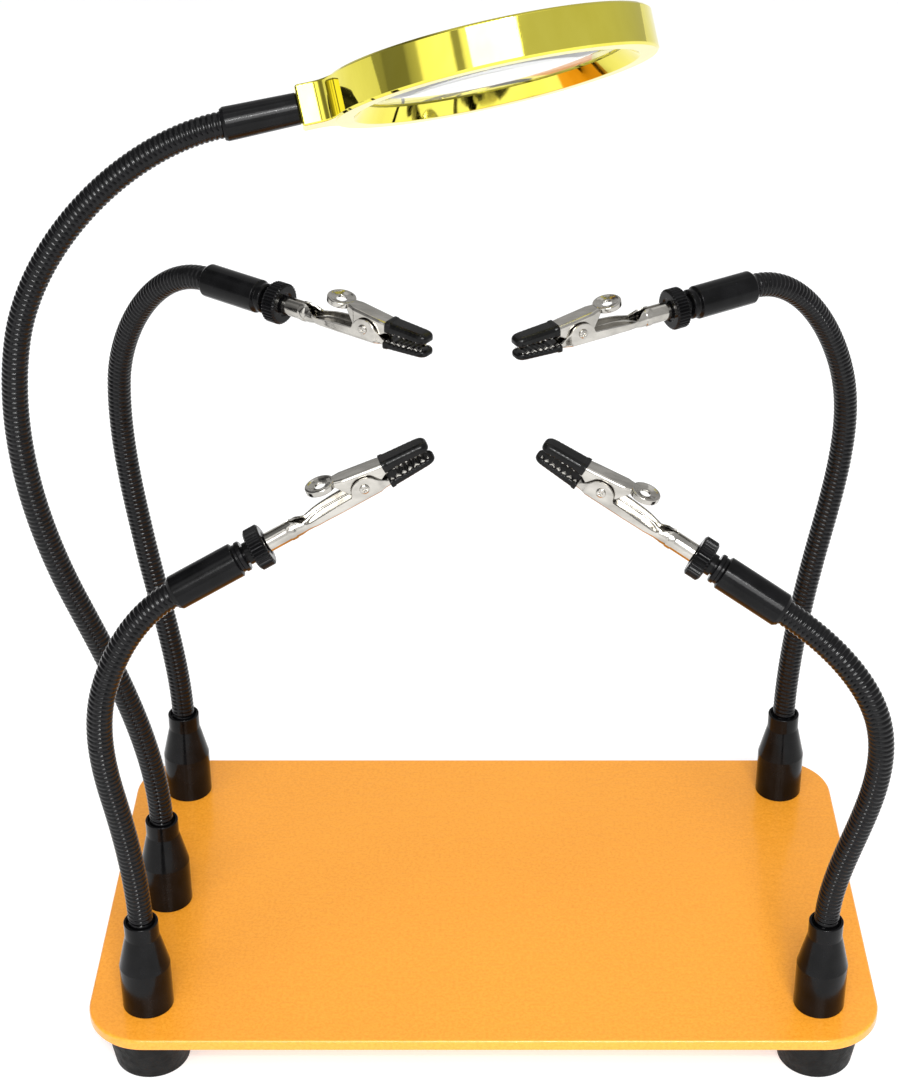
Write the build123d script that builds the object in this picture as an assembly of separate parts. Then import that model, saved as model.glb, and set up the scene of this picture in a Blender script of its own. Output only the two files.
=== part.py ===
"""Helping-hands clamp: a plate on rubber feet, four gooseneck arms with swivelling crocodile clips,
and a magnifier on a fifth gooseneck.  Millimetres, +Z up.  The object is drawn about the plate's centre
and then moved along X, so that the origin is the centre of the whole object's footprint on the bench."""
import os
from math import cos, radians, sin

from build123d import *

# From the plate's centre to the centre of the whole footprint, which the magnifier's arm overhangs
footprint_shift = 6.5

# Base plate, its feet and the screws that hold the arms
plate_width = 200.0
plate_depth = 120.0
plate_thickness = 3.0
plate_corner = 15.0
plate_edge_round = 0.7
foot_height = 14.0
foot_top_radius = 11.5
foot_bottom_radius = 9.4
foot_bore_radius = 2.1
foot_counterbore_radius = 4.2
foot_counterbore_depth = 5.0
screw_radius = 2.0
screw_head_radius = 3.6
screw_head_height = 2.6
screw_reach = 9.0
screw_recess_width = 0.9
screw_recess_span = 4.0
screw_recess_depth = 1.3
plate_hole_radius = 2.15
plate_top = foot_height + plate_thickness

# Arm sockets, standing on the plate
socket_radius = 6.4
socket_straight = 13.0
socket_cone_top = 22.0
socket_height = 26.5
socket_collar_radius = 4.3
socket_screw_bore = 2.05
socket_screw_depth = 10.0
socket_floor = 12.0
socket_mouth_radius = 3.9
socket_mouth_depth = 1.4

# Goosenecks
neck_radius = 3.1
neck_bore = 3.13
ball_cup_radius = 3.4
ball_cup_lift = 1.8
neck_in_ferrule = 9.5

# Clip ferrules and the turned stud that carries each clip
ferrule_length = 19.0
ferrule_radius = 4.15
ferrule_nose_radius = 3.7
ferrule_web = 4.0
stud_bore = 2.2
stud_radius = 2.13
stud_head_radius = 2.85
stud_head_length = 2.4
thumb_radius = 5.1
thumb_start = 1.8
thumb_end = 5.6
thumb_grooves = 36
thumb_groove_radius = 0.28
barrel_bore = 1.87

# Crocodile clip, measured from the ferrule's nose along the clip axis
sheet = 0.6
barrel_start = 5.8
barrel_end = 13.2
barrel_radius = 2.47
pivot_x = 31.5
pivot_z = 2.0
ear_radius = 2.5
rivet_radius = 0.8
rivet_running = 0.85
rivet_head_radius = 1.2
rivet_head_height = 0.5
jaw_end = 47.6
sleeve_end = 48.8
lower_half_width = 3.3
upper_half_width = 2.4
tooth_pitch = 1.6
tooth_depth = 0.7
tooth_count = 6
tooth_first_x = 37.9
lower_tooth_z = 0.7
upper_tooth_back_z = 2.3
upper_tooth_nose_z = 2.0
lever_slope = 8.5
lever_height = 7.0
pad_x = 23.0
pad_radius = 3.6
pad_thickness = 1.4
pad_hole_radius = 1.3
spring_radius = 1.45
spring_wire = 0.28
spring_pitch = 0.75
spring_turns = 3.0

# Magnifier
lens_radius = 35.1
lens_clear_radius = 30.0
lens_edge = 2.0
lens_bulge = 2.0
ring_radius = 37.5
ring_half_height = 4.75
ring_edge_break = 0.5
ring_lip_radius = 30.2
ring_mouth_radius = 33.0
ring_lip_top = -1.2
ring_bore = 35.2
retainer_inner = 31.0
retainer_height = 3.4
head_tilt = 27.0
head_reach = 44.5
head_ferrule_length = 17.5
block_half_width = 4.7
block_half_height = 4.7
spigot_radius = 2.6
spigot_length = 5.0

# Each arm lies in one upright plane through its socket.  In that plane (out, up) are measured from the
# socket's centre on the plate: two bends and the ferrule's start, each with the neck's direction there.
arms = {
    "front_left": dict(at=(-85, -45.5), heading=12.6, low=(-3.7, 64.9, 99.6), high=(-3.2, 95.7, 72.3),
                       ferrule=(14.3, 119.1, 25.9)),
    "front_right": dict(at=(85, -45.5), heading=161.1, low=(-6.4, 59.9, 103.6), high=(-7.1, 89.0, 70.2),
                        ferrule=(16.5, 113.0, 27.7)),
    "back_left": dict(at=(-85, 45.5), heading=-34.1, low=(-9.0, 78.6, 101.3), high=(-13.3, 127.5, 82.9),
                      ferrule=(19.8, 163.9, -1.6)),
    "back_right": dict(at=(85, 45.5), heading=-152.3, low=(-6.8, 79.8, 102.7), high=(-10.9, 127.6, 76.6),
                       ferrule=(20.2, 161.3, -3.2)),
}
magnifier = dict(at=(-85, -4), heading=9.2, low=(-16.0, 95.6, 109.5), high=(-23.1, 166.8, 77.6),
                 ferrule=(26.9, 215.9, 9.4))


def direction(angle):
    """Unit vector in the arm's plane at an angle above the outward direction."""
    return Vector(cos(radians(angle)), 0, sin(radians(angle)))


def in_plane(out, up):
    """A point of the arm's plane."""
    return Vector(out, 0, up)


def along(origin, angle):
    """Frame at a point of the arm's plane whose X runs along the given direction."""
    return Location(Plane(origin=origin, x_dir=direction(angle), z_dir=direction(angle + 90)))


def rod(start, end, radius):
    """Round bar between two points."""
    axis = end - start
    upright = (Align.CENTER, Align.CENTER, Align.MIN)
    return Plane(origin=start, z_dir=axis) * Cylinder(radius, axis.length, align=upright)


def bent_tube(start, start_angle, end, end_angle):
    """Length of gooseneck that leaves and arrives in the given directions."""
    reach = (end - start).length / 3
    path = Bezier(start, start + direction(start_angle) * reach, end - direction(end_angle) * reach, end)
    return sweep(Plane(origin=start, z_dir=direction(start_angle)) * Circle(neck_radius), path=path)


def turned(points):
    """Solid of revolution about X from (x, radius) points."""
    return revolve(make_face(Plane.XZ * Polyline(*points, close=True)), Axis.X)


def spun(points):
    """Solid of revolution about Z from (radius, z) points."""
    return revolve(make_face(Plane.XZ * Polyline(*points, close=True)), Axis.Z)


def placed(shape, arm):
    """Move a shape from the arm's own frame onto the plate."""
    x, y = arm["at"]
    return Location((x, y, plate_top), (0, 0, arm["heading"])) * shape


def labelled(shape, name):
    """Name a shape for its STEP file."""
    shape.label = name
    return shape


# Base

def base_plate():
    """Flat steel plate with a hole under every socket."""
    outline = RectangleRounded(plate_width, plate_depth, plate_corner)
    plate = Pos(0, 0, foot_height) * extrude(outline, plate_thickness)
    plate = fillet(plate.faces().sort_by(Axis.Z)[-1].edges(), plate_edge_round)
    for arm in [*arms.values(), magnifier]:
        x, y = arm["at"]
        plate -= Pos(x, y, foot_height) * Cylinder(plate_hole_radius, 4 * plate_thickness)
    return plate


def rubber_foot():
    """Tapered foot with a counterbore for the screw head."""
    return spun([
        (foot_counterbore_radius, 0),
        (foot_bottom_radius - 0.8, 0),
        (foot_bottom_radius, 0.8),
        (foot_top_radius, foot_height),
        (foot_bore_radius, foot_height),
        (foot_bore_radius, foot_counterbore_depth),
        (foot_counterbore_radius, foot_counterbore_depth),
    ])


def arm_screw(seat):
    """Pan-head screw from its seat height up into the socket."""
    screw = spun([
        (0, seat - screw_head_height),
        (screw_head_radius - 0.9, seat - screw_head_height),
        (screw_head_radius, seat - screw_head_height + 0.9),
        (screw_head_radius, seat),
        (screw_radius, seat),
        (screw_radius, plate_top + screw_reach - 0.5),
        (screw_radius - 0.5, plate_top + screw_reach),
        (0, plate_top + screw_reach),
    ])
    for turn in (0, 90):
        slot = Box(screw_recess_span, screw_recess_width, 2 * screw_recess_depth)
        screw -= Pos(0, 0, seat - screw_head_height) * Rot(0, 0, turn) * slot
    return screw


def arm_socket():
    """Turned cup that stands on the plate and grips the foot of a gooseneck."""
    return spun([
        (socket_screw_bore, 0),
        (socket_radius - 0.4, 0),
        (socket_radius, 0.4),
        (socket_radius, socket_straight),
        (socket_collar_radius, socket_cone_top),
        (socket_collar_radius, socket_height),
        (socket_mouth_radius, socket_height),
        (neck_bore, socket_height - socket_mouth_depth),
        (neck_bore, socket_floor),
        (0, socket_floor),
        (0, socket_screw_depth),
        (socket_screw_bore, socket_screw_depth),
    ])


# Goosenecks, in the arm's frame

def gooseneck_lower(arm):
    """From inside the socket to the ball at the lower bend."""
    out, up, angle = arm["low"]
    bend = in_plane(out, up)
    rim = in_plane(0, socket_height)
    neck = rod(in_plane(0, socket_floor), rim, neck_radius) + bent_tube(rim, 90, bend, angle)
    return neck + Pos(*bend) * Sphere(neck_radius)


def gooseneck_middle(arm):
    """Between the bends: a shallow cup over the lower ball, and a ball of its own at the top."""
    out, up, angle = arm["low"]
    low = in_plane(out, up)
    out, up, top_angle = arm["high"]
    high = in_plane(out, up)
    neck = bent_tube(low + direction(angle) * ball_cup_lift, angle, high, top_angle)
    neck += Pos(*high) * Sphere(neck_radius)
    return neck - Pos(*low) * Sphere(ball_cup_radius)


def gooseneck_upper(arm, hidden):
    """From the upper ball into the ferrule."""
    out, up, angle = arm["high"]
    high = in_plane(out, up)
    out, up, end_angle = arm["ferrule"]
    mouth = in_plane(out, up)
    neck = bent_tube(high + direction(angle) * ball_cup_lift, angle, mouth, end_angle)
    neck += rod(mouth, mouth + direction(end_angle) * hidden, neck_radius)
    return neck - Pos(*high) * Sphere(ball_cup_radius)


# Clip parts, in the clip's frame: X along the clip from the ferrule's nose, Z towards the thumb pad

def ferrule():
    """Sleeve crimped on the gooseneck, bored at the nose for the clip's stud."""
    start = -ferrule_length
    return turned([
        (start, neck_bore),
        (start, ferrule_radius - 0.7),
        (start + 0.8, ferrule_radius),
        (-2.3, ferrule_radius),
        (-1.9, ferrule_nose_radius - 0.3),
        (-1.3, ferrule_nose_radius - 0.3),
        (-1.1, ferrule_nose_radius),
        (-0.3, ferrule_nose_radius),
        (0, ferrule_nose_radius - 0.3),
        (0, stud_bore),
        (-ferrule_web, stud_bore),
        (-ferrule_web, neck_bore),
    ])


def thumb_screw():
    """Knurled wheel with a headed stud behind it and a boss for the clip's barrel in front."""
    stud_back = -ferrule_web - 0.1
    wheel = turned([
        (stud_back - stud_head_length, 0),
        (stud_back - stud_head_length, stud_head_radius),
        (stud_back, stud_head_radius),
        (stud_back, stud_radius),
        (0.4, stud_radius),
        (0.4, stud_radius + 0.6),
        (thumb_start, stud_radius + 0.6),
        (thumb_start, thumb_radius - 0.5),
        (thumb_start + 0.5, thumb_radius),
        (thumb_end - 0.5, thumb_radius),
        (thumb_end, thumb_radius - 0.5),
        (thumb_end, barrel_bore),
        (barrel_end - 0.6, barrel_bore),
        (barrel_end - 0.6, 0),
    ])
    groove = Rot(0, 90, 0) * Cylinder(thumb_groove_radius, 4 * (thumb_end - thumb_start))
    middle = (thumb_start + thumb_end) / 2
    cuts = [
        Pos(middle, 0, 0) * Rot(turn * 360 / thumb_grooves, 0, 0) * Pos(0, 0, thumb_radius) * groove
        for turn in range(thumb_grooves)
    ]
    keep = Pos(middle, 0, 0) * Rot(0, 90, 0) * Cylinder(2 * thumb_radius, thumb_end - thumb_start)
    return wheel - (Compound(cuts) & keep)


def prism_y(points, half_width):
    """Side view (x, z) drawn out to both sides of the clip's middle plane."""
    face = make_face(Polyline(*[(x, 0, z) for x, z in points], close=True))
    return extrude(face, half_width, dir=(0, 1, 0), both=True)


def prism_z(points, low, high):
    """Half plan (x, y) mirrored about the X axis and raised between two heights."""
    both_sides = points + [(x, -y) for x, y in reversed(points)]
    return Pos(0, 0, low) * extrude(make_face(Polyline(*both_sides, close=True)), high - low)


def ear(radius, half_width):
    """Round boss across the clip at the rivet."""
    return Pos(pivot_x, 0, pivot_z) * Rot(90, 0, 0) * Cylinder(radius, 2 * half_width)


def teeth(tip_z, depth):
    """Side-view points of the saw teeth, from the first tip to the last; depth is signed."""
    points = [(tooth_first_x, tip_z(tooth_first_x))]
    for tooth in range(tooth_count):
        x = tooth_first_x + tooth * tooth_pitch
        points.append((x + tooth_pitch / 2, tip_z(x + tooth_pitch / 2) + depth))
        points.append((x + tooth_pitch, tip_z(x + tooth_pitch)))
    return points


def lower_bite(x):
    """Height of the lower teeth's tips."""
    return lower_tooth_z


def upper_bite(x):
    """Height of the upper teeth's tips, which close towards the nose."""
    share = (x - tooth_first_x) / (jaw_end - tooth_first_x)
    return upper_tooth_back_z + share * (upper_tooth_nose_z - upper_tooth_back_z)


def lower_plan(wall):
    """Half plan of the lower jaw, drawn in by a wall thickness."""
    return [
        (barrel_end - 0.5 - wall, 2.1 - wall),
        (17.5, 3.0 - wall),
        (20.5, lower_half_width - wall),
        (pivot_x + ear_radius, lower_half_width - wall),
        (pivot_x + ear_radius + 2.0, 2.6 - wall),
        (jaw_end - wall, 1.9 - wall),
    ]


def lower_side():
    """Side view of the lower jaw without its ears."""
    floor = [(barrel_end - 0.5, -1.9), (17.0, -1.3), (20.5, -1.0), (jaw_end, -1.0)]
    top = [(jaw_end, lower_tooth_z)] + list(reversed(teeth(lower_bite, -tooth_depth)))
    ear_foot = [(pivot_x + 5.0, lower_tooth_z - 0.5), (pivot_x + 2.8, 1.4), (pivot_x - 4.3, 1.4)]
    back = [(20.5, 1.0), (16.0, 0.5), (barrel_end - 0.5, 0.8)]
    return floor + top + ear_foot + back


def lower_jaw_outside():
    """The lower jaw as a full block, before it is hollowed."""
    side = prism_y(lower_side(), 6) + ear(ear_radius, 6)
    return side & prism_z(lower_plan(0), -6, 9)


def lower_jaw():
    """Folded sheet trough with rivet ears, teeth and a crimped barrel round the stud's boss."""
    floor = [(barrel_end - 1.2, -1.3), (17.0, -0.7), (20.5, -0.4), (jaw_end, -0.4)]
    hollow_side = floor + [(jaw_end, 9), (10, 9)]
    trough = lower_jaw_outside()
    trough -= prism_y(hollow_side, 6) & prism_z(lower_plan(sheet), -6, 9)
    barrel = turned([
        (barrel_start, barrel_bore),
        (barrel_start, barrel_radius),
        (barrel_end, barrel_radius),
        (barrel_end, barrel_bore),
    ])
    barrel -= Pos((barrel_start + barrel_end) / 2 - 0.6, 0, 2) * Box(barrel_end - barrel_start, 1.0, 4)
    return barrel + trough - ear(rivet_radius, 9) - bore_clearance()


def bore_clearance():
    """Room inside the barrel for the stud's boss."""
    return turned([
        (barrel_start, 0),
        (barrel_start, barrel_bore),
        (barrel_end, barrel_bore),
        (barrel_end, 0),
    ])


def lever_top(x):
    """Height of the lever's top face."""
    return lever_height - (x - pad_x) * sin(radians(lever_slope)) / cos(radians(lever_slope))


def upper_plan(wall):
    """Half plan of the upper jaw, drawn in by a wall thickness."""
    return [
        (pad_x, 1.8 - wall),
        (pivot_x - 3.8, upper_half_width - wall),
        (pivot_x + 4.2, upper_half_width - wall),
        (jaw_end - wall, 1.8 - wall),
    ]


def upper_jaw_outside():
    """The upper jaw as a full block, before it is hollowed."""
    wall_start = pad_x + 2.3
    under = [(pad_x, lever_top(pad_x) - 1.0), (wall_start, lever_top(wall_start) - 1.0)]
    cheek_z = pivot_z - 1.4
    cheek = [(pivot_x - 3.6, pivot_z - 0.6), (pivot_x - 1.8, cheek_z), (pivot_x + 2.0, cheek_z)]
    bite = teeth(upper_bite, tooth_depth)
    top = [(jaw_end, upper_bite(jaw_end)), (jaw_end, lever_top(jaw_end)), (pad_x, lever_top(pad_x))]
    return prism_y(under + cheek + bite + top, 6) & prism_z(upper_plan(0), -6, 9)


def upper_jaw():
    """Folded sheet lever: inverted trough with teeth, and a dished thumb pad at the back."""
    roof_back = (pad_x - 1, lever_top(pad_x - 1) - sheet)
    roof_front = (jaw_end, lever_top(jaw_end) - sheet)
    roof = [roof_back, roof_front, (jaw_end, -6), (15, -6)]
    jaw = upper_jaw_outside()
    jaw -= prism_y(roof, 6) & prism_z(upper_plan(sheet), -6, 9)
    pad = Cylinder(pad_radius, pad_thickness) - Pos(0, 0, 9.9) * Sphere(9.8)
    pad = Pos(pad_x, 0, lever_top(pad_x) - pad_thickness / 2) * Rot(0, lever_slope, 0) * pad
    hole = Pos(pad_x, 0, lever_top(pad_x)) * Rot(0, lever_slope, 0) * Cylinder(pad_hole_radius, 6)
    return jaw + pad - hole - ear(rivet_running, 9)


def jaw_rivet():
    """Rivet through both jaws, headed outside the ears."""
    rivet = ear(rivet_radius, lower_half_width)
    for side in (-1, 1):
        y = side * (lower_half_width + rivet_head_height / 2)
        head = Rot(90, 0, 0) * Cylinder(rivet_head_radius, rivet_head_height)
        dimple = Pos(0, side * rivet_head_height / 2, 0) * Sphere(0.45)
        rivet += Pos(pivot_x, y, pivot_z) * (head - dimple)
    return rivet


def jaw_spring():
    """Torsion spring round the rivet, one leg under the lever and one in the trough."""
    height = spring_turns * spring_pitch
    path = Helix(spring_pitch, height, spring_radius)
    section = Plane(origin=path @ 0, z_dir=path % 0) * Circle(spring_wire)
    coil = sweep(section, path=path, is_frenet=True)
    coil = Pos(pivot_x, height / 2, pivot_z) * Rot(90, 0, 0) * Rot(0, 0, 180) * coil
    back = pivot_x - spring_radius
    near = Vector(back, height / 2, pivot_z)
    far = Vector(back, -height / 2, pivot_z)
    lever_x = pivot_x - 4.0
    lever_end = Vector(lever_x, height / 2 - 0.5, lever_top(lever_x) - sheet - 0.6)
    trough_end = Vector(pivot_x - 4.0, -height / 2, 0.0)
    spring = coil + rod(near, lever_end, spring_wire) + rod(far, trough_end, spring_wire)
    for knee in (near, far):
        spring += Pos(*knee) * Sphere(spring_wire)
    return spring


def across(x, z):
    """Plane square to the clip at a station, its X across the clip and its Y up."""
    return Plane(origin=(x, 0, z), x_dir=(0, 1, 0), z_dir=(1, 0, 0))


def sleeve(start, back, nose, corner):
    """Tapered rubber boot between two rounded sections, each given as (width, lowest, highest)."""
    sections = []
    for x, (width, low, high) in ((start, back), (sleeve_end, nose)):
        sections.append(across(x, (low + high) / 2) * RectangleRounded(width, high - low, corner))
    return loft(sections)


def bite_ribs(height):
    """Shallow cross grooves in a boot's biting face, whose height is given along the clip."""
    groove = Rot(90, 0, 0) * Cylinder(0.25, 9)
    return Compound([Pos(39 + 2 * n, 0, height(39 + 2 * n)) * groove for n in range(5)])


def sleeve_face(start, back_z, nose_z):
    """Height along a boot's biting face."""
    return lambda x: back_z + (nose_z - back_z) * (x - start) / (sleeve_end - start)


def lower_sleeve():
    """Rubber boot under the lower jaw's teeth, whose tips stand out of it."""
    start = pivot_x + 5.6
    boot = sleeve(start, (6.2, -1.7, 0.3), (4.8, -1.5, 0.45), 0.8)
    return boot - lower_jaw_outside() - bite_ribs(sleeve_face(start, 0.3, 0.45))


def upper_sleeve():
    """Rubber boot over the upper jaw's teeth."""
    start = pivot_x + 5.8
    back_top = lever_top(start) + 0.4
    nose_top = lever_top(sleeve_end) + 1.3
    boot = sleeve(start, (5.4, 2.4, back_top), (5.0, 1.75, nose_top), 1.0)
    return boot - upper_jaw_outside() - bite_ribs(sleeve_face(start, 2.4, 1.75))


# Magnifier head, in its own frame: X from the ferrule towards the lens, Z the lens axis

def magnifier_ring():
    """Cast rim with a beveled lip under the lens and a block for the ferrule."""
    ring = spun([
        (ring_mouth_radius, -ring_half_height),
        (ring_radius - ring_edge_break, -ring_half_height),
        (ring_radius, -ring_half_height + ring_edge_break),
        (ring_radius, ring_half_height - ring_edge_break),
        (ring_radius - ring_edge_break, ring_half_height),
        (ring_bore, ring_half_height),
        (ring_bore, ring_lip_top),
        (ring_lip_radius, ring_lip_top),
        (ring_lip_radius, ring_lip_top - 0.4),
    ])
    outline = [(-head_reach, block_half_width), (-ring_radius - 2.5, block_half_width), (-34.0, 11.0)]
    block = prism_z(outline, -block_half_height, block_half_height)
    block -= Cylinder((ring_bore + ring_radius) / 2, 4 * ring_half_height)
    socket = Rot(0, 90, 0) * Cylinder(spigot_radius, spigot_length)
    return ring + block - Pos(-head_reach + spigot_length / 2, 0, 0) * socket


def lens():
    """Biconvex lens with a flat margin for its seat."""
    curve = (lens_clear_radius ** 2 + lens_bulge ** 2) / (2 * lens_bulge)
    middle = ring_lip_top + lens_edge / 2
    blank = Cylinder(lens_clear_radius, lens_edge + 2 * lens_bulge)
    upper = Pos(0, 0, lens_edge / 2 + lens_bulge - curve) * Sphere(curve)
    under = Pos(0, 0, curve - lens_edge / 2 - lens_bulge) * Sphere(curve)
    return Pos(0, 0, middle) * ((blank & upper & under) + Cylinder(lens_radius, lens_edge))


def retaining_ring():
    """Threaded ring that holds the lens down on the lip."""
    low = ring_lip_top + lens_edge
    return spun([
        (retainer_inner, low),
        (lens_radius, low),
        (lens_radius, low + retainer_height),
        (retainer_inner + 1.0, low + retainer_height),
        (retainer_inner, low + retainer_height - 1.0),
    ])


def magnifier_ferrule():
    """Tapered sleeve on the gooseneck with a spigot in the rim's block."""
    start = -head_ferrule_length
    return turned([
        (start, neck_bore),
        (start, 3.5),
        (start + 0.6, 3.9),
        (0, 3.6),
        (0, spigot_radius),
        (spigot_length - 0.3, spigot_radius),
        (spigot_length - 0.3, 0),
        (start + neck_in_ferrule, 0),
        (start + neck_in_ferrule, neck_bore),
    ])


# Export

def ferrule_nose(arm, length):
    """Frame at the nose of an arm's ferrule."""
    out, up, angle = arm["ferrule"]
    return along(in_plane(out, up) + direction(angle) * length, angle)


def base_parts():
    """Everything that stays with the plate."""
    corners = [Pos(*arm["at"], 0) for arm in arms.values()]
    screws = [corner * arm_screw(foot_counterbore_depth) for corner in corners]
    screws.append(Pos(*magnifier["at"], 0) * arm_screw(foot_height))
    return {
        "base_plate": base_plate(),
        "rubber_feet": Compound([corner * rubber_foot() for corner in corners]),
        "base_screws": Compound(screws),
    }


def clip_parts():
    """The pieces that every clip arm shares, in the clip's frame."""
    return {
        "ferrule": ferrule(),
        "thumb_screw": thumb_screw(),
        "lower_jaw": lower_jaw(),
        "upper_jaw": upper_jaw(),
        "jaw_spring": jaw_spring(),
        "jaw_rivet": jaw_rivet(),
        "lower_sleeve": lower_sleeve(),
        "upper_sleeve": upper_sleeve(),
    }


def neck_parts(name, arm, hidden):
    """Socket and the three lengths of gooseneck of one arm."""
    return {
        f"{name}_socket": placed(arm_socket(), arm),
        f"{name}_gooseneck_lower": placed(gooseneck_lower(arm), arm),
        f"{name}_gooseneck_middle": placed(gooseneck_middle(arm), arm),
        f"{name}_gooseneck_upper": placed(gooseneck_upper(arm, hidden), arm),
    }


def magnifier_parts():
    """The fifth arm and its lens."""
    nose = ferrule_nose(magnifier, head_ferrule_length)
    head = nose * Rot(-head_tilt, 0, 0) * Pos(head_reach, 0, 0)
    return {
        **neck_parts("magnifier", magnifier, neck_in_ferrule),
        "magnifier_ferrule": placed(nose * magnifier_ferrule(), magnifier),
        "magnifier_ring": placed(head * magnifier_ring(), magnifier),
        "magnifier_retaining_ring": placed(head * retaining_ring(), magnifier),
        "magnifier_lens": placed(head * lens(), magnifier),
    }


def assembly():
    """Every node of the object by name."""
    nodes = base_parts()
    shared = clip_parts()
    for name, arm in arms.items():
        nodes.update(neck_parts(name, arm, neck_in_ferrule))
        nose = ferrule_nose(arm, ferrule_length)
        for piece, shape in shared.items():
            nodes[f"{name}_{piece}"] = placed(nose * shape, arm)
    nodes.update(magnifier_parts())
    return nodes


os.makedirs("parts", exist_ok=True)
for node, solid in assembly().items():
    export_step(labelled(Pos(footprint_shift, 0, 0) * solid, node), f"parts/{node}.step")
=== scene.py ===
"""Helping-hands clamp: the visible model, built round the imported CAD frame.

Lengths are in millimetres in the shape code and become metres when a mesh is made.
"""

import math

import bmesh
import bpy
from mathutils import Matrix, Vector


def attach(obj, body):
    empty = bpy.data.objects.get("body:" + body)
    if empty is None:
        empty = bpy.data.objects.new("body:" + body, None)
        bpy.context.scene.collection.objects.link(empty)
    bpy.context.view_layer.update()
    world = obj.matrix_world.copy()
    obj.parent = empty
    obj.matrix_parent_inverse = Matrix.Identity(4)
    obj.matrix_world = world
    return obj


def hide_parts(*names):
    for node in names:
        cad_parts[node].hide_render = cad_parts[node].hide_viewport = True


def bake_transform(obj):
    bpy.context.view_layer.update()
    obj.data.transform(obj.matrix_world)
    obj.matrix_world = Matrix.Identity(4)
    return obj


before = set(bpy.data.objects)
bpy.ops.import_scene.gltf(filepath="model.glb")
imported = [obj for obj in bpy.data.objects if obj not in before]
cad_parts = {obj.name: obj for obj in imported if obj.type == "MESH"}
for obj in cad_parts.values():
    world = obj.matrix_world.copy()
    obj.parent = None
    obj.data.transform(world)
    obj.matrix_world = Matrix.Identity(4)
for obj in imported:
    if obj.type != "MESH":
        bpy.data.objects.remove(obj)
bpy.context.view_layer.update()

MM = 0.001
PLATE_CENTRE_X = 6.5
PLATE_WIDTH, PLATE_DEPTH, PLATE_THICKNESS, PLATE_CORNER = 200.0, 120.0, 3.0, 15.0
FOOT_HEIGHT = 14.0
PLATE_TOP = FOOT_HEIGHT + PLATE_THICKNESS
CLIP_FERRULE = 19.0
MAGNIFIER_FERRULE = 17.5
SHEET = 0.5
SHEET_EDGE = 0.1

# ---------------------------------------------------------------- the arms

# Each arm's socket on the plate and its heading in degrees. The two bends and the ferrule's start are
# (out, up, direction in degrees) in the arm's own upright plane, and tail is the ferrule's length.
ARMS = {
    "front_left": dict(at=(-85, -45.5), heading=12.6, low=(-3.7, 64.9, 99.6), high=(-3.2, 95.7, 72.3),
                       ferrule=(14.3, 119.1, 25.9), tail=CLIP_FERRULE),
    "front_right": dict(at=(85, -45.5), heading=161.1, low=(-6.4, 59.9, 103.6), high=(-7.1, 89.0, 70.2),
                        ferrule=(16.5, 113.0, 27.7), tail=CLIP_FERRULE),
    "back_left": dict(at=(-85, 45.5), heading=-34.1, low=(-9.0, 78.6, 101.3), high=(-13.3, 127.5, 82.9),
                      ferrule=(19.8, 163.9, -1.6), tail=CLIP_FERRULE),
    "back_right": dict(at=(85, 45.5), heading=-152.3, low=(-6.8, 79.8, 102.7), high=(-10.9, 127.6, 76.6),
                       ferrule=(20.2, 161.3, -3.2), tail=CLIP_FERRULE),
    "magnifier": dict(at=(-85, -4), heading=9.2, low=(-16.0, 95.6, 109.5), high=(-23.1, 166.8, 77.6),
                      ferrule=(26.9, 215.9, 9.4), tail=MAGNIFIER_FERRULE),
}
CLIP_ARMS = ["front_left", "front_right", "back_left", "back_right"]


def arm_matrix(arm):
    """From an arm's own frame (X outwards, Z up, origin on the plate) to the row frame, in mm."""
    x, y = arm["at"]
    turn = Matrix.Rotation(math.radians(arm["heading"]), 4, "Z")
    return Matrix.Translation((x + PLATE_CENTRE_X, y, PLATE_TOP)) @ turn


def nose_matrix(arm):
    """From the frame at a ferrule's nose (X along the clip, Z towards its thumb pad) to the row frame."""
    out, up, angle = arm["ferrule"]
    a = math.radians(angle)
    nose = (out + arm["tail"] * math.cos(a), 0, up + arm["tail"] * math.sin(a))
    return arm_matrix(arm) @ Matrix.Translation(nose) @ Matrix.Rotation(-a, 4, "Y")


# ---------------------------------------------------------------- mesh helpers

def sharpen(mesh, degrees=38):
    """Smooth shading, with the edges sharper than the angle left crisp."""
    bm = bmesh.new()
    bm.from_mesh(mesh)
    bmesh.ops.remove_doubles(bm, verts=bm.verts, dist=1e-7)
    bmesh.ops.recalc_face_normals(bm, faces=bm.faces)
    for face in bm.faces:
        face.smooth = True
    for edge in bm.edges:
        edge.smooth = not (len(edge.link_faces) == 2 and edge.calc_face_angle() > math.radians(degrees))
    bm.to_mesh(mesh)
    bm.free()


def make(name, parts, matrix, material, degrees=38):
    """One mesh object from (vertices, faces) parts in mm, placed by a matrix in mm."""
    verts, faces = [], []
    for part_verts, part_faces in parts:
        first = len(verts)
        verts += [matrix @ Vector(v) * MM for v in part_verts]
        faces += [[first + i for i in face] for face in part_faces]
    mesh = bpy.data.meshes.new(name)
    mesh.from_pydata(verts, [], faces)
    sharpen(mesh, degrees)
    obj = bpy.data.objects.new(name, mesh)
    bpy.context.scene.collection.objects.link(obj)
    obj.data.materials.append(material)
    return obj


def moved(part, matrix):
    """A part with its vertices put through a matrix."""
    verts, faces = part
    return [tuple(matrix @ Vector(v)) for v in verts], faces


def skin(rows, closed=True, start_cap=False, end_cap=False):
    """Quads between successive rows of points; closed rows are rings."""
    n = len(rows[0])
    verts = [p for row in rows for p in row]
    faces = []
    for r in range(len(rows) - 1):
        for i in range(n if closed else n - 1):
            a, b = r * n + i, r * n + (i + 1) % n
            faces.append((a, b, b + n, a + n))
    if start_cap:
        faces.append(tuple(reversed(range(n))))
    if end_cap:
        faces.append(tuple(range((len(rows) - 1) * n, len(rows) * n)))
    return verts, faces


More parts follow.
